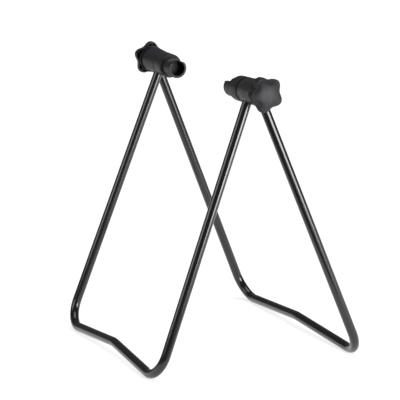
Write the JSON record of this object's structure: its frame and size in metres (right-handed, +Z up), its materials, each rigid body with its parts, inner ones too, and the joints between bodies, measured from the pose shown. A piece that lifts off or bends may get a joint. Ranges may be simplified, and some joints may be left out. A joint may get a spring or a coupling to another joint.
{
  "type": "folding floor bicycle stand",
  "caption": "Folding floor stand of bent steel tube that holds a bicycle by its rear axle in adjustable cups.",
  "frame": {"origin": "on the floor, below the middle of the hinge axis", "axes": "+X along the hinge axis, +Y from the inner frame's foot to the outer frame's foot, +Z up"},
  "size_m": [0.3796, 0.3009, 0.3955],
  "materials": {
    "black_paint": "gloss",
    "dark_plastic": "satin",
    "white_nylon": "satin",
    "zinc_steel": "zinc plated"
  },
  "bodies": {
    "inner_frame": {"inner_frame_tube": "black_paint", "left_barrel": "dark_plastic", "left_collar": "dark_plastic", "left_spacer": "dark_plastic", "left_end_washer": "white_nylon", "left_thrust_washer": "zinc_steel", "left_inner_leg_plug": "dark_plastic", "right_barrel": "dark_plastic", "right_collar": "dark_plastic", "right_spacer": "dark_plastic", "right_end_washer": "white_nylon", "right_thrust_washer": "zinc_steel", "right_inner_leg_plug": "dark_plastic"},
    "outer_frame": {"outer_frame_tube": "black_paint", "left_outer_leg_plug": "dark_plastic", "right_outer_leg_plug": "dark_plastic"},
    "left_knob": {"left_knob": "dark_plastic", "left_screw": "zinc_steel", "left_knob_clip": "zinc_steel"},
    "left_cup": {"left_cup": "dark_plastic", "left_cup_nut": "zinc_steel"},
    "right_knob": {"right_knob": "dark_plastic", "right_screw": "zinc_steel", "right_knob_clip": "zinc_steel"},
    "right_cup": {"right_cup": "dark_plastic", "right_cup_nut": "zinc_steel"}
  },
  "joints": [
    {"name": "frame_fold", "type": "hinge", "parent": "inner_frame", "child": "outer_frame", "pos_m": [0, 0, 0.37052], "axis": [1, 0, 0], "range_deg": [-41, 0]},
    {"name": "left_knob_turn", "type": "hinge", "parent": "inner_frame", "child": "left_knob", "pos_m": [-0.15025, 0, 0.37052], "axis": [-0.9995, 0, 0.0314], "range_deg": [-1805, 2165]},
    {"name": "left_cup_slide", "type": "slide", "parent": "inner_frame", "child": "left_cup", "axis": [0.9995, 0, -0.0314], "range_m": [-0.005, 0.006]},
    {"name": "right_knob_turn", "type": "hinge", "parent": "inner_frame", "child": "right_knob", "pos_m": [0.15025, 0, 0.37052], "axis": [0.9995, 0, 0.0314], "range_deg": [-1805, 2165]},
    {"name": "right_cup_slide", "type": "slide", "parent": "inner_frame", "child": "right_cup", "axis": [-0.9995, 0, -0.0314], "range_m": [-0.005, 0.006]}
  ],
  "couplings": [
    {"joint": "left_knob_turn", "follows": "left_cup_slide", "rad_per_m": 6283.2},
    {"joint": "right_knob_turn", "follows": "right_cup_slide", "rad_per_m": 6283.2}
  ]
}
